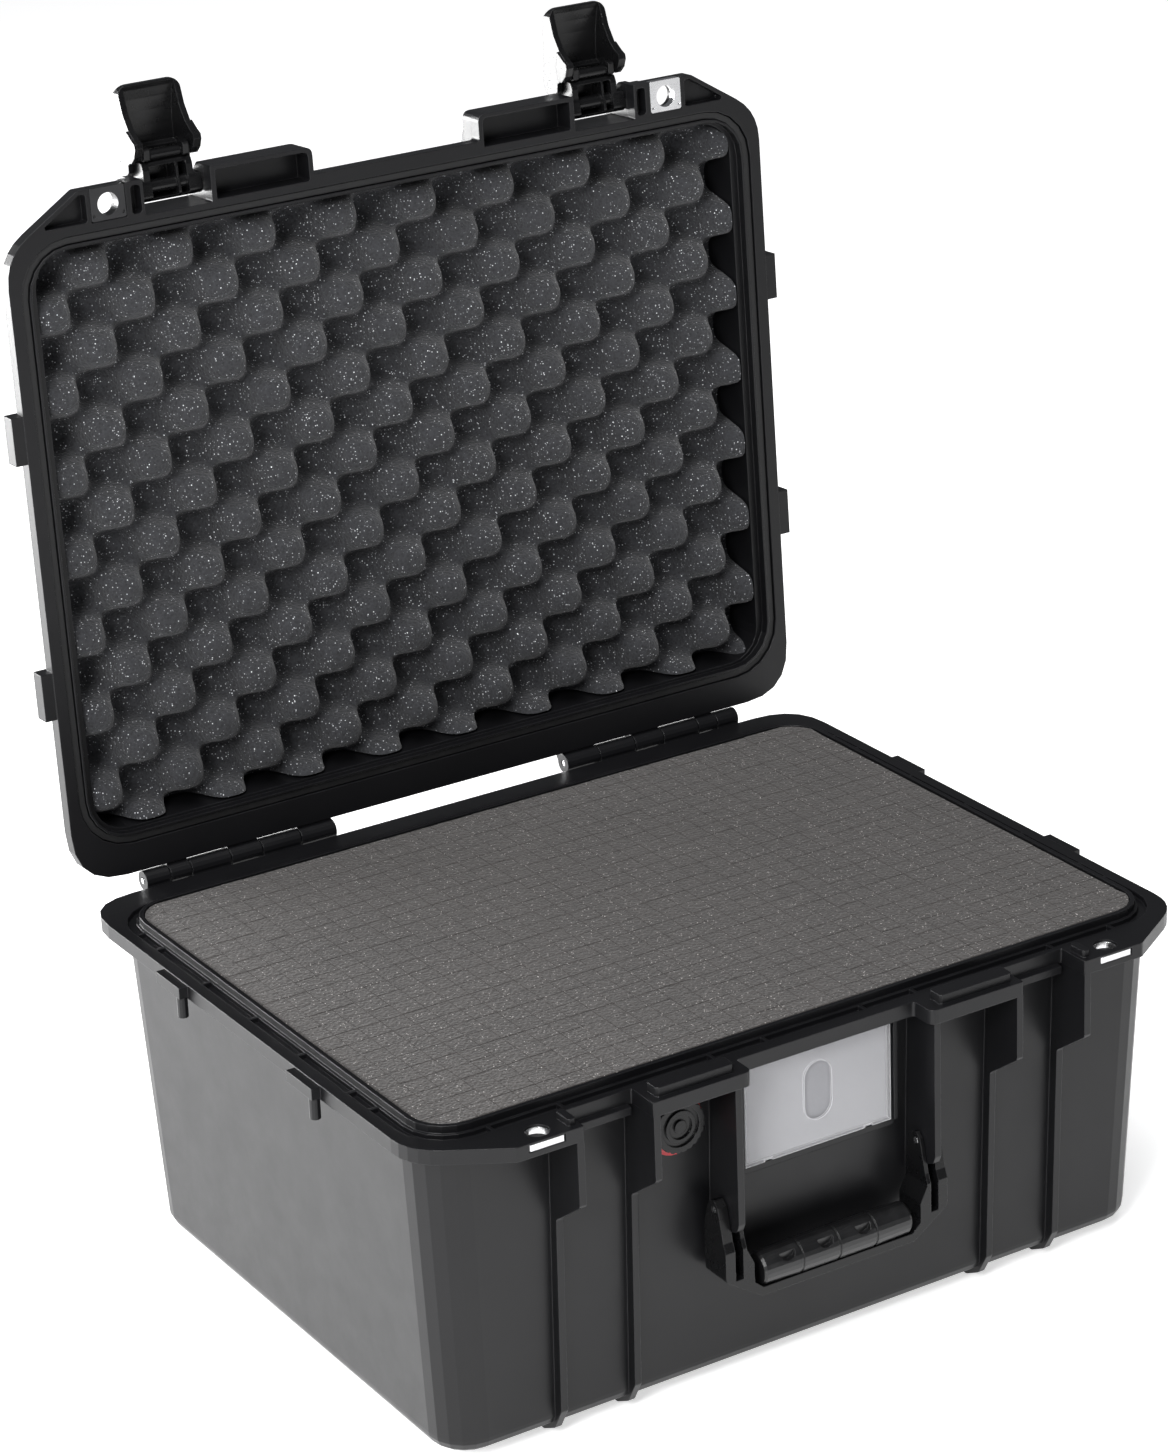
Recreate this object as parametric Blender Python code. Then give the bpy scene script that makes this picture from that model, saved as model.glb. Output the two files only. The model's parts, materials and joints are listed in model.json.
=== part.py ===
"""Moulded equipment case, open: base, lid, hinges, two latches, handle, valve, card holder, foams.

Frame: metres, +X along the front to the right, +Y to the back, +Z up. The floor is z = 0 and the
middle of the foam opening is x = y = 0. The lid and everything on it is drawn shut, then swung open.
"""

import math

import bmesh
import bpy
from mathutils import Matrix, Vector

# Driving dimensions, in millimetres.
MM = 0.001
GAP = 0.3                  # air between pieces that touch
RUNNER = 5.5               # how far the runners stand below the shell
PARTING = 188.5            # height of the face where lid meets base
FLANGE = 8.0               # thickness of the rim flange, on base and lid
OPEN_X, OPEN_Y, OPEN_R = 218.5, 158.9, 20.0   # half sizes and corner radius of the opening
WALL_TOP = (226.0, -164.3, 167.0, 24.0)       # half width, front, back, corner radius at the rim
WALL_LOW = (217.5, -158.6, 161.0, 22.0)       # the same at the bottom
BOTTOM_ROUND = 9.0
RIM_X, RIM_FRONT, RIM_BACK = 234.5, -176.0, 185.0
EAR_Y = -190.7             # front of ears, brackets and fins
TONGUE = 4.0               # height of the ring that enters the lid
LID_HEIGHT = 46.0
LID_OPEN = 93.3            # degrees from shut to the pose drawn here
HINGE_Y, HINGE_Z = 191.8, PARTING + 1.8
HINGE_R = 5.6
FIN_OUT = (152.8, 156.8)   # |x| of the outer fins
FIN_IN = (109.0, 112.8)    # |x| of the inner fins
FIN_HANDLE = (58.9, 62.7)  # |x| of the fins that carry the handle
WELL_Y = -171.5            # rim front inside the latch wells
BRACKET_IN, WING_IN = 54.6, 51.6     # |x| of the inner ends of the base bracket and the lid wing
LATCH_X = 132.8
ARM_Y, ARM_H = -183.0, 13.0          # arm pivot on the lid, h above the parting face
PADDLE_Y, PADDLE_H = -194.0, 26.5    # paddle pivot on the arm
BARREL_Y, BARREL_H = -199.5, 13.0    # the paddle's cross barrel
TIP_ROUND = 6.0            # corner radius of the paddle's free end
PLATE_X, PLATE_Y, PLATE_HOLE = 173.4, -181.3, 6.0
PLATE_SKIN = 0.9           # polymer that covers the base plates
HANDLE_Y, HANDLE_Z = -174.5, 108.5
BAR_TOP = 61.4             # height of the handle bar's upper face
GRIP_Z, GRIP_END = 68.4, 46.0
VALVE_X, VALVE_Z = -85.4, 159.0
CARD_X, CARD_LOW = 45.0, 121.5

SIDES = (-1.0, 1.0)


def clear_scene():
    for obj in list(bpy.data.objects):
        bpy.data.objects.remove(obj, do_unlink=True)


def material(name, colour, roughness, metallic=0.0):
    mat = bpy.data.materials.new(name)
    mat.use_nodes = True
    shader = mat.node_tree.nodes["Principled BSDF"]
    shader.inputs["Base Color"].default_value = (*colour, 1.0)
    shader.inputs["Roughness"].default_value = roughness
    shader.inputs["Metallic"].default_value = metallic
    mat.diffuse_color = (*colour, 1.0)
    return mat


def from_bmesh(name, bm):
    bmesh.ops.recalc_face_normals(bm, faces=bm.faces)
    mesh = bpy.data.meshes.new(name)
    bm.to_mesh(mesh)
    bm.free()
    obj = bpy.data.objects.new(name, mesh)
    bpy.context.scene.collection.objects.link(obj)
    return obj


def loft(rings):
    """A closed solid through rings of equal point counts, given in millimetres."""
    bm = bmesh.new()
    rows = [[bm.verts.new(Vector(p) * MM) for p in ring] for ring in rings]
    count = len(rows[0])
    for low, high in zip(rows, rows[1:]):
        for i in range(count):
            j = (i + 1) % count
            bm.faces.new((low[i], low[j], high[j], high[i]))
    bm.faces.new(rows[0])
    bm.faces.new(rows[-1])
    return from_bmesh("helper", bm)


def box(x0, x1, y0, y1, z0, z1):
    ring = [(x0, y0), (x1, y0), (x1, y1), (x0, y1)]
    return loft([[(x, y, z) for x, y in ring] for z in (z0, z1)])


def prism_z(outline, z0, z1):
    return loft([[(x, y, z) for x, y in outline] for z in (z0, z1)])


def prism_x(outline, x0, x1):
    return loft([[(x, y, z) for y, z in outline] for x in (x0, x1)])


def circle(radius, count, start=0.0):
    angles = [start + 2 * math.pi * i / count for i in range(count)]
    return [(radius * math.cos(a), radius * math.sin(a)) for a in angles]


def rod_x(x0, x1, y, z, radius, count=20):
    return prism_x([(y + a, z + b) for a, b in circle(radius, count)], x0, x1)


def rod_y(y0, y1, x, z, radius, count=24):
    ring = circle(radius, count)
    return loft([[(x + a, y, z + b) for a, b in ring] for y in (y0, y1)])


def rod_z(z0, z1, x, y, radius, count=20):
    return prism_z([(x + a, y + b) for a, b in circle(radius, count)], z0, z1)


def rounded(hx, front, back, radius, steps=5):
    """Outline of a rounded rectangle, symmetric in x."""
    corners = ((hx, front, -90), (hx, back, 0), (-hx, back, 90), (-hx, front, 180))
    out = []
    for cx, cy, start in corners:
        mx = cx - math.copysign(radius, cx)
        my = cy + (radius if start in (-90, 180) else -radius)
        for i in range(steps + 1):
            a = math.radians(start + 90 * i / steps)
            out.append((mx + radius * math.cos(a), my + radius * math.sin(a)))
    return out


def plan_box(side, x0, x1, y0, y1):
    """Outline of a rectangle on one side, seen from above."""
    return [(x0 * side, y0), (x1 * side, y0), (x1 * side, y1), (x0 * side, y1)]


def offset_ring(d, z, steps=5):
    """The opening's outline grown by d, at height z."""
    outline = rounded(OPEN_X + d, -OPEN_Y - d, OPEN_Y + d, max(OPEN_R + d, 2.0), steps)
    return [(x, y, z) for x, y in outline]


def boolean(target, tools, operation):
    for tool in tools:
        modifier = target.modifiers.new("op", "BOOLEAN")
        modifier.solver = "EXACT"
        modifier.operation = operation
        modifier.object = tool
    graph = bpy.context.evaluated_depsgraph_get()
    mesh = bpy.data.meshes.new_from_object(target.evaluated_get(graph))
    target.modifiers.clear()
    target.data = mesh
    for tool in tools:
        bpy.data.objects.remove(tool, do_unlink=True)
    return target


def union(target, *tools):
    return boolean(target, tools, "UNION")


def cut(target, *tools):
    return boolean(target, tools, "DIFFERENCE")


def finish(obj, name, mat, pivot=None, turn=0.0, smooth=False):
    """Name, colour, origin on the pivot (millimetres), and the swing about X that opens the lid."""
    obj.name = name
    obj.data.name = name
    obj.data.materials.clear()
    obj.data.materials.append(mat)
    if turn:
        hinge = Vector((0, HINGE_Y, HINGE_Z)) * MM
        swing = Matrix.Translation(hinge) @ Matrix.Rotation(-math.radians(turn), 4, "X")
        obj.data.transform(swing @ Matrix.Translation(-hinge))
        if pivot is not None:
            pivot = (swing @ Matrix.Translation(-hinge) @ (Vector(pivot) * MM)) / MM
    if pivot is not None:
        obj.data.transform(Matrix.Translation(-Vector(pivot) * MM))
        obj.location = Vector(pivot) * MM
    if smooth:
        for face in obj.data.polygons:
            face.use_smooth = True
        obj.data.set_sharp_from_angle(angle=math.radians(35))
    return obj


def corner_cut(points, radius, steps=3):
    """Rounds every corner of an outline; radius is one number or one per corner."""
    out = []
    count = len(points)
    radii = radius if isinstance(radius, (list, tuple)) else [radius] * count
    for i in range(count):
        here = Vector(points[i]).to_2d()
        before = Vector(points[i - 1]).to_2d() - here
        after = Vector(points[(i + 1) % count]).to_2d() - here
        if radii[i] <= 0:
            out.append(tuple(here))
            continue
        half = before.angle(after) / 2
        reach = min(radii[i] / math.tan(half), before.length * 0.45, after.length * 0.45)
        start = here + before.normalized() * reach
        end = here + after.normalized() * reach
        for k in range(steps + 1):
            t = k / steps
            out.append(tuple(start * (1 - t) ** 2 + here * 2 * t * (1 - t) + end * t**2))
    return out


def mirrored(points):
    """Closes an outline given for x >= 0, front to back, with its mirror image."""
    return points + [(-x, y) for x, y in reversed(points)]


def rim_outline(inner_x):
    """The flange seen from above: ears and latch wells at the front, round corners at the back."""
    half = [
        (inner_x, RIM_FRONT), (inner_x, EAR_Y), (113.0, EAR_Y), (113.0, WELL_Y), (152.6, WELL_Y),
        (152.6, EAR_Y), (190.5, EAR_Y), (RIM_X, -163.2), (RIM_X, RIM_BACK),
    ]
    radii = [2.0, 4.5, 1, 1, 1, 1, 4, 30, 30]
    return corner_cut(mirrored(half), radii + radii[::-1], 5)


def wall_y(z):
    """Front face of the base wall at height z."""
    share = (z - RUNNER) / (PARTING - RUNNER)
    return WALL_LOW[1] + (WALL_TOP[1] - WALL_LOW[1]) * share


def shell_rings():
    rings = []
    hx, front, back, radius = WALL_LOW
    for angle in (0, 25, 50, 75, 90):
        a = math.radians(angle)
        inset = BOTTOM_ROUND * (1 - math.sin(a))
        z = RUNNER + BOTTOM_ROUND * (1 - math.cos(a))
        outline = rounded(hx - inset, front + inset, back - inset, radius - inset)
        rings.append([(x, y, z) for x, y in outline])
    rings.append([(x, y, PARTING - 1) for x, y in rounded(*WALL_TOP)])
    return rings


def fin(side, span, lower):
    """A front fin: deep under the rim, stepping back, then a low rib that turns under as a runner."""
    top, step_high, step_low = PARTING - FLANGE + 2, 145.0, 128.5
    rib = -5.4
    points = [
        (-150, top), (EAR_Y, top), (EAR_Y, step_high), (wall_y(step_low) + rib, step_low),
        (wall_y(26) + rib, 18.0), (-157.5, 5.5), (-147.0, 0.0),
        (149.0, 0.0), (161.0, 6.0), (167.0, 20.0), (168.5, 34.0), (156.0, 40.0),
        (152.0, 9.0), (-148.0, 9.0),
    ]
    if not lower:
        points = [
            (-150, top), (-187.4, top), (-187.4, 103.0), (-185.6, 98.6), (-182.0, 97.0),
            (-172.0, 91.5), (-166.0, 88.0), (-150.0, 84.0),
        ]
    piece = prism_x(corner_cut(points, 1.6, 1), span[0] * side, span[1] * side)
    return piece


def hinge_knuckle(side, span, root_near, root_far, lean):
    """A barrel on the hinge axis and its web to the rim: lean is 1 for the base leaf, -1 for the lid's."""
    x0, x1 = sorted((side * (span[0] + GAP), side * (span[1] - GAP)))
    barrel = rod_x(x0, x1, HINGE_Y, HINGE_Z, HINGE_R, 16)
    outline = [
        (176.5, root_far), (186.0, root_far), (HINGE_Y + 3.4, HINGE_Z - 4.2 * lean),
        (HINGE_Y, HINGE_Z), (HINGE_Y - 4.0, HINGE_Z + 1.5 * lean), (186.0, root_near), (176.5, root_near),
    ]
    return union(barrel, prism_x(outline, x0 + 0.2, x1 - 0.2))


BASE_KNUCKLES = ((98.5, 123.0), (142.5, 167.0), (180.0, 195.0))
LID_KNUCKLES = ((76.0, 98.5), (123.0, 142.5), (167.0, 180.0))


def base_shell(mat):
    body = loft(shell_rings())
    flange = prism_z(rim_outline(BRACKET_IN), PARTING - FLANGE, PARTING)
    tongue = loft([offset_ring(3.0, PARTING - 3), offset_ring(2.6, PARTING + TONGUE)])
    body = union(body, flange, tongue)
    parts = []
    for side in SIDES:
        parts.append(fin(side, FIN_OUT, True))
        parts.append(fin(side, FIN_IN, True))
        parts.append(fin(side, FIN_HANDLE, False))
        ridge = plan_box(side, 63.0, 108.3, -187.0, -177.2)
        parts.append(prism_z(corner_cut(ridge, 1.2, 1), PARTING - 2, PARTING + 5))
        post = plan_box(side, 154.8, 159.2, -187.0, -175.5)
        parts.append(prism_z(corner_cut(post, 1.0, 1), PARTING - 2, PARTING + 3.6))
        for y0, y1 in ((63.5, 89.5), (-77.5, -51.5)):
            x0, x1 = sorted((231.0 * side, 239.6 * side))
            parts.append(box(x0, x1, y0, y1, PARTING - 7.0, PARTING - 0.6))
            parts.append(rod_z(PARTING - 18.5, PARTING - 5.0, 236.6 * side, y0 + 3.2, 2.9, 12))
        x0, x1 = sorted((76.3 * side, 198.0 * side))
        parts.append(box(x0, x1, 174.0, 184.5, PARTING - FLANGE - 4, PARTING - 1.2))
        for span in BASE_KNUCKLES:
            parts.append(hinge_knuckle(side, span, PARTING - 1.5, PARTING - 10, 1.0))
        # Card rails either side of the label.
        x0, x1 = sorted(((CARD_X + 1.2) * side, (CARD_X + 3.6) * side))
        rail = [(-155, CARD_LOW - 2), (-169.5, CARD_LOW), (-169.8, PARTING - 6), (-155, PARTING - 6)]
        parts.append(prism_x(rail, x0, x1))
    parts.append(box(-(CARD_X + 3), CARD_X + 3, -166.5, -155, CARD_LOW - 4.5, CARD_LOW - 1.0))
    for x0, x1 in ((-150.0, -115.6), (115.6, 150.0)):
        parts.append(prism_x([(-158, 168), (-175, 176.5), (-175, 180.6), (-158, 182)], x0, x1))
    body = union(body, *parts)
    inside = loft([
        offset_ring(-15.0, 9.0), offset_ring(-8.0, 10.5), offset_ring(-5.0, 16.0),
        offset_ring(0.0, PARTING - 6), offset_ring(0.2, PARTING + 8),
    ])
    tools = [inside]
    channel = loft([offset_ring(9.0, PARTING - 2.6), offset_ring(9.4, PARTING + 1)])
    keep = loft([offset_ring(4.6, PARTING - 4.0), offset_ring(4.2, PARTING + 2)])
    channel = cut(channel, keep)
    dividers = []
    for y in (134.5, 112.0, 60.0, 8.7, -42.0, -92.5, -114.2):
        dividers.append(box(-230, -221, y - 1.0, y + 1.0, PARTING - 5, PARTING + 3))
        dividers.append(box(221, 230, y - 1.0, y + 1.0, PARTING - 5, PARTING + 3))
    for x in (-190, -150, -62, -30, 30, 62, 150, 190):
        dividers.append(box(x - 1.0, x + 1.0, 161, 171, PARTING - 5, PARTING + 3))
        dividers.append(box(x - 1.0, x + 1.0, -171, -161, PARTING - 5, PARTING + 3))
    tools.append(cut(channel, *dividers))
    for side in SIDES:
        x0, x1 = sorted(((PLATE_X - 10.4) * side, (PLATE_X + 10.4) * side))
        tools.append(box(x0, x1, -196, -172.6, PARTING - 4.9, PARTING - PLATE_SKIN))
        tools.append(rod_z(PARTING - 20, PARTING + 5, PLATE_X * side, PLATE_Y, PLATE_HOLE + 0.4, 24))
        tools.append(rod_x(*sorted((74.0 * side, 195.6 * side)), HINGE_Y, HINGE_Z, 2.0, 12))
        tools.append(rod_x(*sorted((52.0 * side, 70.0 * side)), HANDLE_Y, HANDLE_Z, 2.3, 14))
    tools.append(rod_y(-180, -150, VALVE_X, VALVE_Z, 6.4, 20))
    body = cut(body, *tools)
    return finish(body, "base_shell", mat, smooth=True)


def lid_rings(inset, low, high, rounding):
    """Rings of the lid's dome, or of its hollow when inset is the wall."""
    half_x, half_y, corner = 220.5 - inset, 163.6 - inset, 22 - inset
    rings = []
    for d, z in ((0.0, low), (1.0, high - rounding)):
        outline = rounded(half_x - d, d - half_y, half_y - d, corner)
        rings.append([(x, y, z) for x, y in outline])
    for angle in (30, 60, 90):
        a = math.radians(angle)
        d = 1.0 + rounding * (1 - math.cos(a))
        z = high - rounding + rounding * math.sin(a)
        outline = rounded(half_x - d, d - half_y, half_y - d, max(corner - d * 0.6, 3))
        rings.append([(x, y, z) for x, y in outline])
    return rings


def lid_ear(side, span):
    """Cheek beside a latch that carries the arm pin."""
    h = PARTING + GAP
    points = [
        (-158, h + 0.4), (-190.4, h + 0.4), (-190.6, h + 16.0), (-186.0, h + 21.0), (-180.4, h + 25.5),
        (-170.0, h + 31.0), (-158.0, h + 34.0),
    ]
    x0, x1 = sorted((span[0] * side, span[1] * side))
    return prism_x(corner_cut(points, 2.0, 1), x0, x1)


def lid_shell(mat):
    low = PARTING + GAP
    body = loft(lid_rings(0.0, low + 1, PARTING + LID_HEIGHT, 17.0))
    flange = prism_z(rim_outline(WING_IN), low, low + FLANGE)
    parts = [flange]
    for side in SIDES:
        parts.append(lid_ear(side, FIN_OUT))
        parts.append(lid_ear(side, FIN_IN))
        wing = plan_box(side, WING_IN + 0.1, 112.6, EAR_Y + 0.1, -160)
        parts.append(prism_z(corner_cut(wing, [4.5, 1, 0, 0], 4), low + 1, low + 17.0))
        x0, x1 = sorted((57.0 * side, 112.4 * side))
        slope = [
            (-158, low + 14), (-190.0, low + 14), (-189.4, low + 17.2), (-176, low + 28),
            (-158, low + 33),
        ]
        parts.append(prism_x(corner_cut(slope, 2.0, 1), x0, x1))
        x0, x1 = sorted((153.4 * side, 162.0 * side))
        slope = [
            (-158, low + 1), (EAR_Y + 0.2, low + 1), (EAR_Y + 0.2, low + 12), (-168, low + 26),
            (-158, low + 28),
        ]
        parts.append(prism_x(corner_cut(slope, 2.0, 1), x0, x1))
        x0, x1 = sorted((112.9 * side, 152.9 * side))
        well_back = [
            (-158, low + 5), (WELL_Y, low + 5), (WELL_Y, low + 26), (-166, low + 31), (-158, low + 33),
        ]
        parts.append(prism_x(well_back, x0, x1))
        for y0, y1 in ((62.2, 88.4), (-79.0, -53.0)):
            x0, x1 = sorted((230.0 * side, 241.2 * side))
            parts.append(box(x0, x1, y0, y1, low + 0.5, low + 10.0))
        x0, x1 = sorted((76.3 * side, 198.0 * side))
        parts.append(box(x0, x1, 174.0, 184.0, low + 1.0, low + FLANGE + 3))
        for span in LID_KNUCKLES:
            parts.append(hinge_knuckle(side, span, low + 1.5, low + 10, -1.0))
    body = union(body, *parts)
    tools = [
        loft([offset_ring(3.3, low - 2), offset_ring(3.3, low + 5.2)]),
        loft(lid_rings(3.2, low + 3.0, PARTING + LID_HEIGHT - 3.2, 15.0)),
    ]
    groove = loft([offset_ring(9.2, low - 1), offset_ring(9.2, low + 4.6)])
    keep = loft([offset_ring(4.7, low - 3), offset_ring(4.7, low + 6)])
    tools.append(cut(groove, keep))
    for side in SIDES:
        x0, x1 = sorted(((PLATE_X - 10.4) * side, (PLATE_X + 10.4) * side))
        tools.append(box(x0, x1, -197, -172.6, low - 2, low + 4.9))
        tools.append(rod_z(low - 5, low + 40, PLATE_X * side, PLATE_Y, PLATE_HOLE + 0.4, 24))
        pocket = plan_box(side, 154.2, 160.0, -188.3, -173.2)
        tools.append(prism_z(corner_cut(pocket, 1.2, 1), low - 2, low + 7.5))
        wing = plan_box(side, 54.3, 110.2, -188.4, -172.6)
        tools.append(prism_z(corner_cut(wing, [3.0, 1.2, 1.2, 1.2], 3), low - 2, low + 13.5))
        corner = [
            (186.0 * side, -188.4), (190.0 * side, -188.4), (213.6 * side, -173.4), (186.0 * side, -173.4),
        ]
        tools.append(prism_z(corner_cut(corner, 1.0, 1), low - 2, low + 6.2))
        tools.append(rod_x(*sorted((75.0 * side, 195.6 * side)), HINGE_Y, HINGE_Z, 2.0, 12))
        tools.append(rod_x(*sorted((110.6 * side, 155.2 * side)), ARM_Y, PARTING + ARM_H, 2.3, 14))
    body = cut(body, *tools)
    return finish(body, "lid_shell", mat, (0, HINGE_Y, HINGE_Z), LID_OPEN, smooth=True)


def gasket(mat):
    low = PARTING + GAP + 1.4
    ring = loft([offset_ring(8.7, low), offset_ring(8.9, low + 1.2), offset_ring(8.9, low + 2.9)])
    ring = cut(ring, loft([offset_ring(5.2, low - 2), offset_ring(5.0, low + 6)]))
    return finish(ring, "lid_gasket", mat, (0, HINGE_Y, HINGE_Z), LID_OPEN, smooth=True)


def hinge_pin(side, name, mat):
    pin = rod_x(*sorted((76.6 * side, 195.0 * side)), HINGE_Y, HINGE_Z, 2.0 - GAP, 16)
    return finish(pin, name, mat, (0, HINGE_Y, HINGE_Z), smooth=True)


def padlock_plate(side, name, mat, on_lid):
    x = PLATE_X * side
    z0 = PARTING + GAP + 0.2 if on_lid else PARTING - 4.6
    outline = [(x - 10.1, -190.6), (x + 10.1, -190.6), (x + 10.1, -172.9), (x - 10.1, -172.9)]
    thick = 4.4 if on_lid else 4.6 - PLATE_SKIN - GAP
    plate = prism_z(corner_cut(outline, 0.8, 1), z0, z0 + thick)
    plate = cut(plate, rod_z(z0 - 2, z0 + 8, x, PLATE_Y, PLATE_HOLE, 32))
    if not on_lid:
        return finish(plate, name, mat, smooth=True)
    for dx in SIDES:
        plate = cut(plate, rod_z(z0 - 1, z0 + 1, x + dx * 8.6, PLATE_Y + 5.4, 0.9, 8))
    return finish(plate, name, mat, (0, HINGE_Y, HINGE_Z), LID_OPEN, smooth=True)


def latch_arm(side, name, mat):
    """Link between lid and paddle; wide on the lid pin, narrow between the paddle's cheeks."""
    c = LATCH_X * side
    z = PARTING
    wide = [
        (-175.6, z + 10.5), (-178.0, z + 7.4), (-187.0, z + 8.4), (-187.0, z + 23.6), (-182.0, z + 21.6),
        (-175.8, z + 16.5),
    ]
    narrow = [
        (-182.0, z + 9.0), (-192.4, z + 9.6), (-196.2, z + 11.2), (-196.5, z + 17.6), (-199.2, z + 21.0),
        (-199.6, z + 27.0), (-197.6, z + 30.8), (-190.8, z + 31.0), (-185.5, z + 27.0), (-182.0, z + 20.0),
    ]
    wide_part = prism_x(corner_cut(wide, 2.0, 2), c - 18.6, c + 18.6)
    narrow_part = prism_x(corner_cut(narrow, 2.0, 2), c - 14.5, c + 14.5)
    arm = union(wide_part, narrow_part)
    pocket = [
        (-177.4, z + 2.0), (-194.0, z + 2.0), (-194.0, z + 20.0), (-184.0, z + 20.0), (-181.5, z + 17.6),
        (-177.4, z + 15.6),
    ]
    arm = cut(arm, *[prism_x(pocket, c + x0, c + x1) for x0, x1 in ((-10.8, 4.6), (6.0, 10.8))])
    arm = union(arm, rod_x(c - 12.0, c + 12.0, ARM_Y, z + ARM_H, 3.7, 20))
    tools = [rod_x(c - 25, c + 25, ARM_Y, z + ARM_H, 2.0, 14)]
    tools.append(rod_x(c - 25, c + 25, PADDLE_Y, z + PADDLE_H, 2.0, 14))
    arm = cut(arm, *tools)
    return finish(arm, name, mat, (c, ARM_Y, z + ARM_H), LID_OPEN, smooth=True)


def latch_paddle(side, name, mat):
    """Curved lever with two cheeks and a cross barrel; its hollow side faces the case when shut."""
    c = LATCH_X * side
    z = PARTING
    half, inner, tip = 18.2, 14.9, -236.0
    profile = [
        (-187.2, z + 24.5), (-186.9, z + 28.5), (-189.5, z + 32.2), (-194.0, z + 33.6), (-206.0, z + 31.6),
        (-222.0, z + 30.4), (-232.0, z + 28.6), (tip, z + 26.2), (tip + 0.1, z + 23.4), (-231.0, z + 22.2),
        (-222.0, z + 19.5), (-214.0, z + 14.5), (-209.5, z + 9.2), (-207.8, z + 6.0), (-205.2, z + 5.6),
        (-200.5, z + 7.6), (-197.2, z + 11.0), (-196.6, z + 15.5), (-195.0, z + 18.6), (-190.5, z + 19.2),
    ]
    hollow = [
        (-234.9, z), (-234.9, z + 23.6), (-232.5, z + 24.8), (-227.0, z + 26.6), (-220.0, z + 28.2),
        (-212.0, z + 29.2), (-206.0, z + 29.4), (-202.8, z + 29.3), (-201.4, z + 26.6),
        (-200.3, z + 26.5), (-199.9, z + 28.6), (-198.5, z + 30.9), (-196.2, z + 32.2), (-194.2, z + 32.5),
        (-194.2, z + 40.0), (-180.0, z + 40.0), (-180.0, z),
    ]
    paddle = prism_x(profile, c - half, c + half)
    paddle = cut(paddle, prism_x(hollow, c - inner, c + inner))
    flare = [
        (-196.8, z + 12.0), (-200.4, z + 7.8), (-205.0, z + 5.8), (-207.6, z + 6.2), (-209.4, z + 9.4),
        (-213.6, z + 15.0), (-205.0, z + 17.0), (-197.6, z + 16.0),
    ]
    more = [
        rod_x(c - 8.8, c + 8.8, BARREL_Y, z + BARREL_H, 2.7, 18),
        rod_x(c - 16, c + 16, BARREL_Y, z + BARREL_H, 1.7, 12),
    ]
    block = [
        (-197.0, z + 9.4), (-203.6, z + 9.0), (-204.6, z + 13.0), (-202.0, z + 16.6), (-197.0, z + 16.2),
    ]
    for s in SIDES:
        x0, x1 = sorted((c + s * 16.0, c + s * 19.5))
        more.append(prism_x(flare, x0, x1))
        x0, x1 = sorted((c + s * 9.8, c + s * 13.2))
        more.append(prism_x(corner_cut(block, 0.8, 1), x0, x1))
    paddle = union(paddle, *more)
    tools = []
    round_x, round_y = half + 0.1 - TIP_ROUND, tip + TIP_ROUND
    for s in SIDES:
        corner = []
        for i in range(6):
            a = math.radians(90 * i / 5)
            corner.append((c + s * (round_x + TIP_ROUND * math.cos(a)), round_y - TIP_ROUND * math.sin(a)))
        corner.append((c + s * (half - TIP_ROUND), tip - 2))
        corner.append((c + s * (half + 3), tip - 2))
        corner.append((c + s * (half + 3), round_y))
        tools.append(prism_z(corner, z + 5, z + 45))
    tools.append(rod_x(c - 25, c + 25, PADDLE_Y, z + PADDLE_H, 2.0, 14))
    paddle = cut(paddle, *tools)
    return finish(paddle, name, mat, (c, PADDLE_Y, z + PADDLE_H), LID_OPEN, smooth=True)


def latch_pin(side, name, mat, y, h, reach):
    c = LATCH_X * side
    pin = rod_x(c - reach, c + reach, y, PARTING + h, 2.0 - GAP, 16)
    return finish(pin, name, mat, (c, y, PARTING + h), LID_OPEN, smooth=True)


def handle_frame(mat):
    """Carry handle hanging down: a forked arm at each end over its fin, joined by a bar under the grip."""
    front, back = -184.2, -165.6
    outline = [(-69.0, 71.0), (-69.0, 96.0), (69.0, 96.0), (69.0, 71.0), (47.5, 56.6), (-47.5, 56.6)]
    outline = corner_cut(outline, [4, 0, 0, 4, 5, 5], 3)
    frame = loft([[(x, y, z) for x, z in outline] for y in (front, back)])
    window = [
        (-56.2, 130), (56.2, 130), (56.2, 86), (51.8, 77), (51.8, 66), (46.6, BAR_TOP),
        (-46.6, BAR_TOP), (-51.8, 66), (-51.8, 77), (-56.2, 86),
    ]
    frame = cut(frame, loft([[(x, y, z) for x, z in window] for y in (-190.0, -160.0)]))
    arm = [
        (front, 80.0), (front, 84.0), (-182.2, 92.0), (-179.4, 104.0), (-177.8, 110.4), (-174.5, 113.4),
        (-170.6, 112.2), (-168.0, 107.5), (back, 97.0), (back, 80.0),
    ]
    cap = [(front - 2, 82.0), (-182.2, 92.0), (-179.4, 104.0), (-177.0, 116.0), (front - 2, 116.0)]
    parts = []
    for side in SIDES:
        for x0, x1 in ((56.2, 58.4), (63.2, 69.0)):
            a, b = sorted((x0 * side, x1 * side))
            parts.append(prism_x(arm, a, b))
    parts.append(box(-38, 38, -178.6, -173.6, BAR_TOP - 1, BAR_TOP + 4))
    trim = prism_x(cap, -80, 80)
    frame = cut(frame, trim)
    frame = union(frame, *parts)
    tools = [rod_x(-75, 75, HANDLE_Y, HANDLE_Z, 2.0, 14)]
    for side in SIDES:
        a, b = sorted((58.4 * side, 63.2 * side))
        tools.append(box(a, b, -190, -160, 70.2, 125))
    frame = cut(frame, *tools)
    return finish(frame, "handle_frame", mat, (0, HANDLE_Y, HANDLE_Z), smooth=True)


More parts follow.
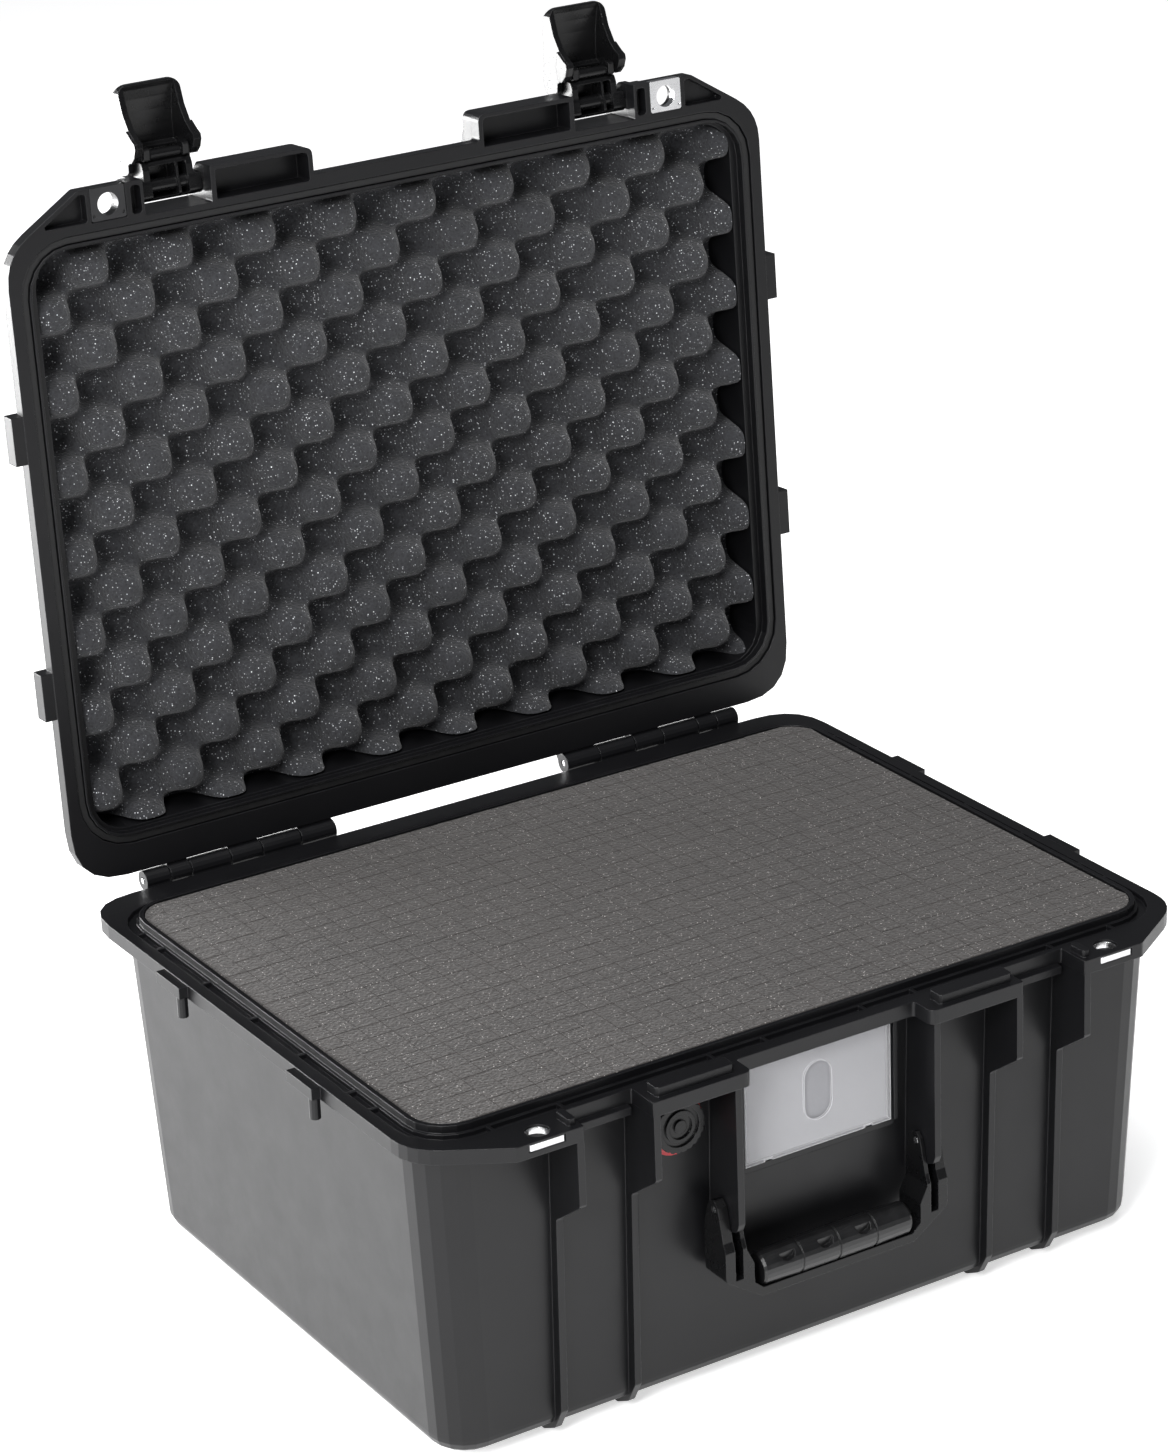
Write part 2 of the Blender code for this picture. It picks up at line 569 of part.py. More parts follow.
def grip_section(x, radius):
    """Ring of the grip at x, flattened where it sits on the bar."""
    floor = BAR_TOP + GAP
    ring = [(x, -177.2 + 0.94 * a, GRIP_Z + b) for a, b in circle(radius, 24)]
    return [(px, py, max(pz, floor)) for px, py, pz in ring]


def handle_grip(mat):
    """Grip on the bar, with three seams and three thumb notches."""
    stations = [(-GRIP_END, 8.0), (-GRIP_END + 1.4, 9.0), (-33.0, 9.2)]
    for x in (-23.0, 0.0, 23.0):
        stations += [(x - 0.8, 9.5), (x - 0.6, 8.9), (x + 0.6, 8.9), (x + 0.8, 9.5)]
    stations += [(33.0, 9.2), (GRIP_END - 1.4, 9.0), (GRIP_END, 8.0)]
    grip = loft([grip_section(x, r) for x, r in stations])
    tools = [box(-38.3, 38.3, -178.9, -173.3, BAR_TOP - 2, BAR_TOP + 4.3)]
    for x in (-31.0, -7.5, 16.0):
        notch = [(x - 4.6, 76.4), (x + 4.6, 76.4)]
        notch += [(x + 4.6 * math.cos(a), 75.2 - 3.4 * math.sin(a)) for a in (0.0, 0.8, 1.57, 2.34, 3.14)]
        tools.append(loft([[(px, y, pz) for px, pz in notch] for y in (-190.0, -182.2)]))
    grip = cut(grip, *tools)
    return finish(grip, "handle_grip", mat, (0, HANDLE_Y, HANDLE_Z), smooth=True)


def handle_pin(side, name, mat):
    pin = rod_x(*sorted((55.9 * side, 68.6 * side)), HANDLE_Y, HANDLE_Z, 2.0 - GAP, 16)
    return finish(pin, name, mat, (0, HANDLE_Y, HANDLE_Z), smooth=True)


def valve_seat_y():
    return wall_y(VALVE_Z + 16) - GAP


def valve_parts(black, red, grey):
    y = valve_seat_y()
    ring = rod_y(y - 3.0, y, VALVE_X, VALVE_Z - 0.9, 16.2, 32)
    ring = cut(ring, rod_y(y - 5, y + 3, VALVE_X, VALVE_Z, 12.0, 32))
    finish(ring, "valve_o_ring", red, smooth=True)
    spigot = rod_y(y - 1, y + 4.6, VALVE_X, VALVE_Z, 6.0, 20)
    body = union(rod_y(y - 2.1, y, VALVE_X, VALVE_Z, 11.6, 28), spigot)
    finish(body, "valve_body", grey, smooth=True)
    teeth = []
    for i in range(72):
        r = 14.3 if i % 3 else 13.6
        a = 2 * math.pi * i / 72
        teeth.append((VALVE_X + r * math.cos(a), VALVE_Z + r * math.sin(a)))
    cap = loft([[(px, py, pz) for px, pz in teeth] for py in (y - 8.0, y - 3.3)])
    face = y - 8.0
    for outer, inner in ((10.8, 8.8), (6.6, 3.6)):
        ring = rod_y(face - 1, face + 1.1, VALVE_X, VALVE_Z, outer, 32)
        cap = cut(cap, cut(ring, rod_y(face - 3, face + 3, VALVE_X, VALVE_Z, inner, 24)))
    finish(cap, "valve_cap", black, smooth=True)


def card_parts(clear, grey):
    top = PARTING - FLANGE - 0.4
    back = -165.4
    cover = box(-CARD_X, CARD_X, back - 3.0, back, CARD_LOW, top)
    pocket = box(-CARD_X + 1.6, CARD_X - 1.6, back - 1.5, back + 2, CARD_LOW + 1.8, top + 2)
    slot = []
    for cz, start in ((160.0, 0), (144.0, 180)):
        for i in range(9):
            a = math.radians(start + 180 * i / 8)
            slot.append((8.4 * math.cos(a), cz + 8.4 * math.sin(a)))
    window = loft([[(x, y, z) for x, z in slot] for y in (back - 6, back + 3)])
    notches = [box(x - 2.4, x + 2.4, back - 6, back - 1.7, CARD_LOW - 2, CARD_LOW + 1.4) for x in (-31, 31)]
    cover = cut(cover, pocket, window, *notches)
    finish(cover, "card_cover", clear)
    insert = box(-CARD_X + 2.0, CARD_X - 2.0, back - 1.1, back - 0.3, CARD_LOW + 2.2, top - 0.3)
    finish(insert, "card_insert", grey)


def foams(dark, warm):
    low = PARTING + GAP
    top = PARTING + LID_HEIGHT - 3.2 - GAP
    lid_foam = loft([
        [(x, y, z) for x, y in rounded(214.0, -157.0, 157.0, 12, 4)]
        for z in (low + 8.2, top - 15.0)
    ] + [[(x, y, top) for x, y in rounded(201.0, -144.0, 144.0, 12, 4)]])
    finish(lid_foam, "lid_foam", dark, (0, HINGE_Y, HINGE_Z), LID_OPEN)

    def inset(z):
        return -5.0 + 5.0 * (z - 16.0) / (PARTING - 22.0) - 0.5

    def block(name, z0, z1, chamfer):
        rings = [offset_ring(inset(z0) - chamfer, z0, 4)]
        if chamfer:
            rings.append(offset_ring(inset(z0 + 8), z0 + 8, 4))
        rings.append(offset_ring(min(inset(z1), -0.5), z1, 4))
        finish(loft(rings), name, warm)

    block("base_foam_pad", 10.9, 24.0, 5.0)
    block("pick_foam_lower", 24.0 + GAP, 107.0, 0.0)
    block("pick_foam_upper", 107.0 + GAP, PARTING + 3.6, 0.0)


def main():
    clear_scene()
    black = material("moulded_black", (0.022, 0.022, 0.024), 0.42)
    latch_black = material("latch_black", (0.020, 0.020, 0.022), 0.36)
    rubber = material("rubber_black", (0.014, 0.014, 0.015), 0.65)
    steel = material("stainless", (0.62, 0.62, 0.63), 0.30, 1.0)
    red = material("silicone_red", (0.45, 0.015, 0.02), 0.45)
    clear = material("clear_cover", (0.75, 0.76, 0.78), 0.12)
    card = material("card_grey", (0.42, 0.42, 0.44), 0.7)
    dark_foam = material("foam_dark", (0.045, 0.047, 0.052), 0.95)
    warm_foam = material("foam_warm", (0.085, 0.080, 0.075), 0.95)

    base_shell(black)
    lid_shell(black)
    gasket(rubber)
    for side, word in ((-1.0, "left"), (1.0, "right")):
        hinge_pin(side, f"hinge_pin_{word}", steel)
        padlock_plate(side, f"base_padlock_plate_{word}", steel, False)
        padlock_plate(side, f"lid_padlock_plate_{word}", steel, True)
        latch_arm(side, f"latch_arm_{word}", latch_black)
        latch_paddle(side, f"latch_paddle_{word}", latch_black)
        latch_pin(side, f"latch_arm_pin_{word}", steel, ARM_Y, ARM_H, 22.0)
        latch_pin(side, f"latch_paddle_pin_{word}", steel, PADDLE_Y, PADDLE_H, 18.2)
        handle_pin(side, f"handle_pin_{word}", steel)
    handle_frame(latch_black)
    handle_grip(rubber)
    valve_parts(latch_black, red, latch_black)
    card_parts(clear, card)
    foams(dark_foam, warm_foam)


main()
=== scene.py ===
"""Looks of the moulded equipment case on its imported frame: materials, foams, floor, light and camera."""

import json
import math
import random

import bmesh
import bpy
from mathutils import Matrix, Vector


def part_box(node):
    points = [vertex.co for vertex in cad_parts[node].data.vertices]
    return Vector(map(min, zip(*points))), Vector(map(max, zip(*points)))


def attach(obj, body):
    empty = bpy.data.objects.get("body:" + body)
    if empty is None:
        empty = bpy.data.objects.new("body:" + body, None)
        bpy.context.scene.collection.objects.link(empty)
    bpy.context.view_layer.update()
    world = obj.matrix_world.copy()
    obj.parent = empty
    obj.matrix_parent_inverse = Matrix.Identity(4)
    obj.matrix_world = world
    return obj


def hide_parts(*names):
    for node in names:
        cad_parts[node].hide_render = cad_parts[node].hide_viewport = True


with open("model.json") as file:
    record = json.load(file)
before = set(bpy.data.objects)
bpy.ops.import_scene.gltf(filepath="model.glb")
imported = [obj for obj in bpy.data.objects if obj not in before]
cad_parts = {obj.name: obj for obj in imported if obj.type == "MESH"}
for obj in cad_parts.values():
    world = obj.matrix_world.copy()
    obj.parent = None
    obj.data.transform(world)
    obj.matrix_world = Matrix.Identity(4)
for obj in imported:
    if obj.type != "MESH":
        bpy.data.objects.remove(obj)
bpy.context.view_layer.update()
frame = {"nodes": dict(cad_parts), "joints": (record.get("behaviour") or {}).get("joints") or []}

# ---- Lid foam, in metres unless said ----
CRATE_PITCH = (0.0498, 0.0443)  # distance between neighbouring peaks in one row, along x and y
CRATE_DEPTH = 0.0265     # peak to valley
CRATE_PROUD = 0.0043     # how far the peaks stand past the block that stands for the foam
CRATE_WIDER = 0.0016     # how much closer than that block it sits to the lid's wall
CRATE_STEP = 0.0021      # mesh step over the convoluted face
CRATE_CORNER = 0.012     # corner radius
CRATE_BACK = 0.009       # height over which the foam's back narrows to follow the dome
CRATE_INSET = 0.013      # how much it narrows by
CRATE_FLAT = 2.1         # no unit: how much the peaks and valleys are flattened and the flanks steepened
CRATE_SHIFT = (-0.0082, 0.0078)  # where the middle peak stands

# ---- Foams in the tub, in metres ----
CUBE_ROWS, CUBE_COLUMNS = 24, 33  # how many cubes the upper foam is scored into
CUBE_UNEVEN = 0.00022    # how far a cube's top may lie below its neighbours'
SCORE_HALF = 0.0003      # half the width of a score
SCORE_DEEP = 0.0005
TUB_CORNER = 0.0195      # corner radius where a foam fills the tub
BRIM = 0.003             # upright part of a foam's side, just below its top face
FOAM_ROUND = 0.0012      # easing of the top edges
SHEET_STEP = 0.012       # mesh step over the plain sheets
SHEET_SAG = 0.0003       # how uneven their top faces are
SHEET_WAVE = 0.19        # distance over which that repeats

# ---- Rounded outlines ----
TURN_STEPS = 6           # how many steps a foam's corner takes
LEAST_SHARE = 0.04       # keeps a corner's last row from closing to a point

# ---- Floor, in metres ----
FLOOR_HALF = 14.0
FLOOR_BELOW = 0.0004     # gap under the runners

# ---- Camera: where it stands (m), where it looks, which way is right, and its lens ----
CAMERA_AT = (-1.10415, -1.75273, 1.14470)
LOOK = (0.48195, 0.79104, -0.37679)
RIGHT = (0.84524, -0.53304, -0.03795)
SENSOR_MM = 36.0
LENS_MM = 106.0299
SHIFT = (0.01129, -0.00719)         # as shares of the sensor

# ---- Lamps: name, place (m), what it faces (m), width and height (m), power (W) ----
LAMPS = (
    ("softbox_top", (-0.9, -0.5, 2.8), (0.0, 0.0, 0.25), (2.4, 2.4), 92.0),
    ("panel_left", (-1.45, 1.75, 0.36), (-0.2, 0.0, 0.12), (2.2, 0.7), 120.0),
    ("key_front", (-2.2, -1.7, 1.9), (0.0, 0.1, 0.35), (0.8, 0.8), 62.0),
)
WORLD_COLOUR, WORLD_STRENGTH = (0.93, 0.95, 1.0), 0.12


def make_camera():
    look = Vector(LOOK).normalized()
    right = Vector(RIGHT)
    right = (right - look * right.dot(look)).normalized()
    up = right.cross(look)
    data = bpy.data.cameras.new("camera")
    cam = bpy.data.objects.new("camera", data)
    bpy.context.scene.collection.objects.link(cam)
    world = Matrix((right, up, -look)).transposed().to_4x4()
    world.translation = CAMERA_AT
    cam.matrix_world = world
    data.sensor_fit = "AUTO"
    data.sensor_width = SENSOR_MM
    data.lens = LENS_MM
    data.shift_x, data.shift_y = SHIFT
    data.clip_start = 0.05
    data.clip_end = 60.0
    bpy.context.scene.camera = cam


def area_light(name, at, aim, size, power):
    data = bpy.data.lights.new(name, "AREA")
    data.shape = "RECTANGLE"
    data.size, data.size_y = size
    data.energy = power
    lamp = bpy.data.objects.new(name, data)
    lamp.location = at
    lamp.rotation_mode = "QUATERNION"
    lamp.rotation_quaternion = (Vector(aim) - Vector(at)).to_track_quat("-Z", "Y")
    bpy.context.scene.collection.objects.link(lamp)


def make_light():
    for lamp in LAMPS:
        area_light(*lamp)
    world = bpy.data.worlds.new("studio")
    bpy.context.scene.world = world
    world.use_nodes = True
    background = world.node_tree.nodes["Background"]
    background.inputs["Color"].default_value = (*WORLD_COLOUR, 1.0)
    background.inputs["Strength"].default_value = WORLD_STRENGTH
    bpy.context.scene.view_settings.view_transform = "Standard"


# ---- Node helpers ----
class Nodes:
    """Adds nodes to one material and links them."""

    def __init__(self, name):
        self.mat = bpy.data.materials.new(name)
        self.mat.use_nodes = True
        self.tree = self.mat.node_tree
        self.shader = self.tree.nodes["Principled BSDF"]

    def add(self, kind, **settings):
        node = self.tree.nodes.new(kind)
        for key, value in settings.items():
            setattr(node, key, value)
        return node

    def link(self, source, target):
        self.tree.links.new(source, target)
        return target

    def place(self, stretch=(1.0, 1.0, 1.0)):
        """Object coordinates in metres, stretched."""
        coords = self.add("ShaderNodeTexCoord")
        mapping = self.add("ShaderNodeMapping")
        mapping.inputs["Scale"].default_value = stretch
        self.link(coords.outputs["Object"], mapping.inputs["Vector"])
        return mapping.outputs["Vector"]

    def noise(self, at, scale, detail=2.0, rough=0.5):
        node = self.add("ShaderNodeTexNoise")
        node.inputs["Scale"].default_value = scale
        node.inputs["Detail"].default_value = detail
        node.inputs["Roughness"].default_value = rough
        self.link(at, node.inputs["Vector"])
        return node.outputs["Fac"]

    def cells(self, at, scale):
        node = self.add("ShaderNodeTexVoronoi")
        node.inputs["Scale"].default_value = scale
        self.link(at, node.inputs["Vector"])
        return node

    def lot(self, cells):
        """A different number from 0 to 1 for each cell."""
        split = self.add("ShaderNodeSeparateColor")
        self.link(cells.outputs["Color"], split.inputs["Color"])
        return split.outputs["Red"]

    def spread(self, value, low, high, to_low, to_high):
        node = self.add("ShaderNodeMapRange")
        node.inputs["From Min"].default_value = low
        node.inputs["From Max"].default_value = high
        node.inputs["To Min"].default_value = to_low
        node.inputs["To Max"].default_value = to_high
        self.link(value, node.inputs["Value"])
        return node.outputs["Result"]

    def maths(self, operation, a, b, clamp=False):
        node = self.add("ShaderNodeMath", operation=operation, use_clamp=clamp)
        for value, socket in ((a, node.inputs[0]), (b, node.inputs[1])):
            if isinstance(value, (int, float)):
                socket.default_value = value
            else:
                self.link(value, socket)
        return node.outputs["Value"]

    def mix(self, share, dark, light):
        node = self.add("ShaderNodeMix", data_type="RGBA")
        self.link(share, node.inputs[0])
        for value, socket in ((dark, node.inputs[6]), (light, node.inputs[7])):
            if isinstance(value, tuple):
                socket.default_value = (*value, 1.0)
            else:
                self.link(value, socket)
        return node.outputs[2]

    def bump(self, height, strength, distance, normal=None):
        node = self.add("ShaderNodeBump")
        node.inputs["Strength"].default_value = strength
        node.inputs["Distance"].default_value = distance
        self.link(height, node.inputs["Height"])
        if normal is not None:
            self.link(normal, node.inputs["Normal"])
        return node.outputs["Normal"]

    def soft_edges(self, radius):
        """A rounded normal at sharp edges, and a mask that is 1 on them.

        The mask grows as the rounded normal turns away from the flat one, by the cosine between them.
        """
        edge = self.add("ShaderNodeBevel", samples=4)
        edge.inputs["Radius"].default_value = radius
        geometry = self.add("ShaderNodeNewGeometry")
        dot = self.add("ShaderNodeVectorMath", operation="DOT_PRODUCT")
        self.link(edge.outputs["Normal"], dot.inputs[0])
        self.link(geometry.outputs["True Normal"], dot.inputs[1])
        flat, turned = 0.985, 0.80
        return edge.outputs["Normal"], self.spread(dot.outputs["Value"], flat, turned, 0.0, 1.0)


# ---- Materials ----
def plastic(name, colour, edge_highlight_colour, rough, grain=1500.0, grain_deep=0.00006, edge=0.0007):
    """Moulded polymer: fine spark texture, faint flow marks, edges polished and painted paler as a painted
    highlight.
    """
    n = Nodes(name)
    at = n.place()
    normal, mask = n.soft_edges(edge)
    scuffs_and_highlight_patches = n.noise(at, 46.0, 5.0, 0.65)
    flow = n.noise(at, 7.0, 2.0)
    tint = n.mix(n.spread(flow, 0.35, 0.65, 0.0, 1.0), colour, tuple(c * 1.25 for c in colour))
    # painted highlight: the base colour turns paler along sharp edges, in patches
    painted_edge_highlight = n.maths("MULTIPLY", mask, n.spread(scuffs_and_highlight_patches, 0.35, 0.7, 0.25, 1.0))
    n.link(n.mix(painted_edge_highlight, tint, edge_highlight_colour), n.shader.inputs["Base Color"])
    dull = n.spread(scuffs_and_highlight_patches, 0.3, 0.7, rough - 0.035, rough + 0.045)
    n.link(n.maths("SUBTRACT", dull, n.maths("MULTIPLY", mask, 0.10)), n.shader.inputs["Roughness"])
    fine = n.noise(at, grain, 2.0, 0.6)
    n.link(n.bump(fine, 0.55, grain_deep, normal), n.shader.inputs["Normal"])
    n.shader.inputs["Specular IOR Level"].default_value = 0.28
    return n.mat


def rubber(name, colour, rough):
    n = Nodes(name)
    at = n.place()
    normal, mask = n.soft_edges(0.0006)
    dust = n.noise(at, 90.0, 4.0, 0.7)
    dust_and_edge_highlight_colour = tuple(min(1.0, c * 1.9 + 0.006) for c in colour)
    # partly real dust in patches, partly a painted highlight that turns the rubber paler along sharp edges
    share = n.maths("ADD", n.spread(dust, 0.5, 0.8, 0.0, 0.5), n.maths("MULTIPLY", mask, 0.35), True)
    n.link(n.mix(share, colour, dust_and_edge_highlight_colour), n.shader.inputs["Base Color"])
    n.link(n.spread(dust, 0.3, 0.7, rough - 0.05, rough + 0.05), n.shader.inputs["Roughness"])
    n.link(n.bump(n.noise(at, 1100.0, 2.0), 0.5, 0.00008, normal), n.shader.inputs["Normal"])
    return n.mat


def steel(name, colour, rough, stretch):
    """Rolled stainless: fine lines along one way, with clouding."""
    n = Nodes(name)
    at = n.place(stretch)
    normal, mask = n.soft_edges(0.0004)
    lines = n.noise(at, 900.0, 3.0, 0.6)
    cloud = n.noise(n.place(), 60.0, 3.0)
    share = n.spread(cloud, 0.3, 0.7, 0.0, 1.0)
    n.link(n.mix(share, tuple(c * 0.86 for c in colour), colour), n.shader.inputs["Base Color"])
    dull = n.spread(lines, 0.3, 0.7, rough - 0.06, rough + 0.08)
    n.link(n.maths("SUBTRACT", dull, n.maths("MULTIPLY", mask, 0.08)), n.shader.inputs["Roughness"])
    n.link(n.bump(lines, 0.25, 0.00003, normal), n.shader.inputs["Normal"])
    n.shader.inputs["Metallic"].default_value = 1.0
    return n.mat


def foam(name, dark, light, spark, spark_rare):
    """Open-cell foam: dark pores, paler struts and a scatter of painted glints, tiny painted highlights.

    The higher spark_rare is, the fewer of those painted glints there are.
    """
    n = Nodes(name)
    at = n.place()
    pores = n.cells(at, 520.0).outputs["Distance"]
    fuzz = n.noise(at, 620.0, 4.0, 0.75)
    patches = n.noise(at, 16.0, 3.0, 0.6)
    grainy = n.maths("ADD", n.spread(pores, 0.1, 0.6, 0.0, 0.6), n.spread(fuzz, 0.38, 0.62, -0.1, 0.5))
    body = n.maths("ADD", grainy, n.spread(patches, 0.3, 0.7, -0.12, 0.12), True)
    base = n.mix(body, dark, light)
    # painted highlight: tiny bright glints painted into the base colour in the spark colour
    glint = n.cells(at, 980.0)
    chosen = n.spread(n.lot(glint), 0.55, 1.0, 0.0, 1.0)
    near = n.spread(glint.outputs["Distance"], 0.42, 0.22, 0.0, 1.0)
    sparkle = n.maths("MULTIPLY", n.maths("POWER", chosen, spark_rare), near)
    n.link(n.mix(sparkle, base, spark), n.shader.inputs["Base Color"])
    n.shader.inputs["Roughness"].default_value = 0.92
    n.shader.inputs["Sheen Weight"].default_value = 0.18
    n.shader.inputs["Sheen Roughness"].default_value = 0.55
    height = n.maths("ADD", pores, n.maths("MULTIPLY", fuzz, 0.8))
    n.link(n.bump(height, 0.6, 0.0007), n.shader.inputs["Normal"])
    return n.mat


def clear_plastic(name):
    """Thin clear moulding: see-through on its faces, with a painted highlight along its edges, which are
    painted paler and less see-through.
    """
    n = Nodes(name)
    mask = n.soft_edges(0.0006)[1]
    haze = n.noise(n.place(), 25.0, 3.0)
    n.link(n.spread(mask, 0.0, 1.0, 0.36, 0.85), n.shader.inputs["Alpha"])
    n.link(n.spread(haze, 0.3, 0.7, 0.08, 0.13), n.shader.inputs["Roughness"])
    # painted highlight: the base colour turns near white along the edges
    n.link(n.mix(mask, (0.55, 0.55, 0.57), (0.95, 0.95, 0.96)), n.shader.inputs["Base Color"])
    return n.mat


def paper(name):
    n = Nodes(name)
    at = n.place()
    fibre = n.noise(at, 700.0, 4.0, 0.7)
    cloud = n.noise(at, 30.0, 2.0)
    share = n.maths("ADD", n.spread(fibre, 0.3, 0.7, 0.0, 0.4), n.spread(cloud, 0.3, 0.7, 0.0, 0.5), True)
    n.link(n.mix(share, (0.25, 0.25, 0.265), (0.29, 0.29, 0.305)), n.shader.inputs["Base Color"])
    n.shader.inputs["Roughness"].default_value = 0.85
    n.link(n.bump(fibre, 0.3, 0.00005), n.shader.inputs["Normal"])
    return n.mat


def make_materials():
    along_x = (0.12, 1.0, 1.0)  # drawn-out grain of rolled steel
    along_pin = (0.08, 1.0, 1.0)
    return {
        # the second colour given to each plastic is its painted edge highlight
        "shell": plastic("moulded_black_grain", (0.0046, 0.0046, 0.0053), (0.030, 0.030, 0.033), 0.36),
        "hard": plastic(
            "latch_black_grain",
            # colour: a darker black than the shell's, partly the latches' own black and partly painted
            # shade standing for the shadow around the handle frame
            (0.0034, 0.0034, 0.0037),
            (0.030, 0.030, 0.032),
            0.27,
            grain=1900.0,
            grain_deep=0.00004,
            edge=0.0006,
        ),
        "gasket": rubber("gasket_rubber", (0.006, 0.006, 0.0065), 0.55),
        "grip": rubber("grip_rubber", (0.0065, 0.0065, 0.007), 0.33),
        "red": rubber("silicone_red_ring", (0.40, 0.012, 0.02), 0.42),
        "plate": steel("stainless_plate", (0.74, 0.74, 0.75), 0.20, along_x),
        # painted reflection: the same stainless as the other plates, painted dark to stand for the dark
        # surroundings it reflects
        "plate_with_painted_dark_reflection": steel("stainless_plate_painted_dark_reflection", (0.060, 0.060, 0.062), 0.34, along_x),
        "pin": steel("stainless_pin", (0.66, 0.66, 0.67), 0.26, along_pin),
        "clear": clear_plastic("clear_cover_plastic"),
        "card": paper("card_grey_paper"),
        "cool_foam": foam(
            "lid_foam_cells",
            dark=(0.0062, 0.0064, 0.0078),
            light=(0.0235, 0.0245, 0.0285),
            spark=(0.90, 0.92, 0.96),
            spark_rare=5.0,
        ),
        "warm_foam": foam(
            "pick_foam_cells",
            dark=(0.0140, 0.0122, 0.0114),
            light=(0.0470, 0.0415, 0.0390),
            spark=(0.55, 0.52, 0.50),
            spark_rare=6.0,
        ),
    }


def dress_frame(mats):
    """Gives each CAD node that stays its finish."""
    finishes = {
        "shell": ("base_shell", "lid_shell"),
        "hard": ("handle_frame", "latch_arm_left", "latch_arm_right", "latch_paddle_left")
        + ("latch_paddle_right", "valve_body", "valve_cap"),
        "gasket": ("lid_gasket",),
        "grip": ("handle_grip",),
        "red": ("valve_o_ring",),
        "plate": ("base_padlock_plate_left", "base_padlock_plate_right", "lid_padlock_plate_right"),
        # the left lid plate gets the stainless painted dark as a painted reflection
        "plate_with_painted_dark_reflection": ("lid_padlock_plate_left",),
        "pin": ("hinge_pin_left", "hinge_pin_right", "handle_pin_left", "handle_pin_right")
        + ("latch_arm_pin_left", "latch_arm_pin_right", "latch_paddle_pin_left", "latch_paddle_pin_right"),
        "clear": ("card_cover",),
        "card": ("card_insert",),
    }
    for finish, nodes in finishes.items():
        for node in nodes:
            slots = frame["nodes"][node].data.materials
            slots.clear()
            slots.append(mats[finish])


# ---- Lid coordinates: the lid as if shut, for laying out what is inside it ----
HINGE = next(j for j in frame["joints"] if j["name"] == "lid_hinge")
LID_SWING = Matrix.Rotation(math.radians(-HINGE["range_deg"][0]), 4, Vector(HINGE["axis"]))
LID_OPENED = Matrix.Translation(HINGE["pos_m"]) @ LID_SWING @ Matrix.Translation(-Vector(HINGE["pos_m"]))


def shut_box(node):
    """Corners of a lid node with the lid turned shut."""
    shut = LID_OPENED.inverted()
    points = [shut @ v.co for v in frame["nodes"][node].data.vertices]
    low = Vector([min(p[i] for p in points) for i in range(3)])
    high = Vector([max(p[i] for p in points) for i in range(3)])
    return low, high


# ---- Mesh helpers ----
def finish_mesh(name, bm, mat, smooth=True):
    bmesh.ops.recalc_face_normals(bm, faces=bm.faces)
    mesh = bpy.data.meshes.new(name)
    bm.to_mesh(mesh)
    bm.free()
    for face in mesh.polygons:
        face.use_smooth = smooth
    mesh.materials.append(mat)
    obj = bpy.data.objects.new(name, mesh)
    bpy.context.scene.collection.objects.link(obj)
    return obj


def row_share(y, ys, corner):
    """How far the corner's part of a row reaches, as a share, where the outline is rounded."""
    into = max(ys[0] + corner - y, y - ys[-1] + corner, 0.0) / corner
    return max(LEAST_SHARE, math.sqrt(max(0.0, 1 - into * into)))


def slab(xs, ys, face_z, back_z, corner, tail):
    """A closed slab with rounded corners whose face follows face_z(x, y).

    Its sides are upright from the face to back_z. From there they lean in by tail[0] over tail[1]
    of height, up or down, and end in the flat back.
    """
    bm = bmesh.new()
    left, right = xs[0] + corner, xs[-1] - corner

    def across(x, y):
        share = row_share(y, ys, corner)
        if x < left:
            return left - (left - x) * share
        if x > right:
            return right + (x - right) * share
        return x

    face = [[bm.verts.new((across(x, y), y, face_z(across(x, y), y))) for x in xs] for y in ys]
    last_i, last_j = len(xs) - 1, len(ys) - 1
    for j in range(last_j):
        for i in range(last_i):
            bm.faces.new((face[j][i], face[j][i + 1], face[j + 1][i + 1], face[j + 1][i]))
    outline = [(i, 0) for i in range(last_i)] + [(last_i, j) for j in range(last_j)]
    outline += [(i, last_j) for i in range(last_i, 0, -1)] + [(0, j) for j in range(last_j, 0, -1)]

    narrow, deep = tail
    middle = ((xs[0] + xs[-1]) / 2, (ys[0] + ys[-1]) / 2)
    share = (1 - 2 * narrow / (xs[-1] - xs[0]), 1 - 2 * narrow / (ys[-1] - ys[0]))
    rims = [[face[j][i] for i, j in outline], [], []]
    for i, j in outline:
        x, y = across(xs[i], ys[j]), ys[j]
        rims[1].append(bm.verts.new((x, y, back_z)))
        leaned = [centre + (value - centre) * part for value, centre, part in zip((x, y), middle, share)]
        rims[2].append(bm.verts.new((*leaned, back_z + deep)))
    for upper, lower in zip(rims, rims[1:]):
        for k in range(len(outline)):
            bm.faces.new((upper[k - 1], upper[k], lower[k], lower[k - 1]))
    bm.faces.new(rims[-1])
    return bm


def corner_turns(corner):
    """How far in from an edge the mesh lines of a rounded corner lie."""
    return [corner * (1 - math.cos(math.pi / 2 * i / TURN_STEPS)) for i in range(TURN_STEPS)]


def steps(low, high, size, corner):
    """Even steps, and finer ones where the outline turns its corners."""
    turns = corner_turns(corner)
    count = max(2, round((high - low - 2 * corner) / size))
    inner = [low + corner + (high - low - 2 * corner) * i / count for i in range(count + 1)]
    return [low + t for t in turns] + inner + [high - t for t in reversed(turns)]


def tapered_back(node, corner):
    """What slab needs for a back that narrows downwards as much as the block it replaces."""
    low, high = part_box(node)
    near_foot = low.z + 0.001
    foot = max(v.co.x for v in frame["nodes"][node].data.vertices if v.co.z < near_foot)
    start = high.z - BRIM
    return start, corner, (high.x - foot, low.z - start)


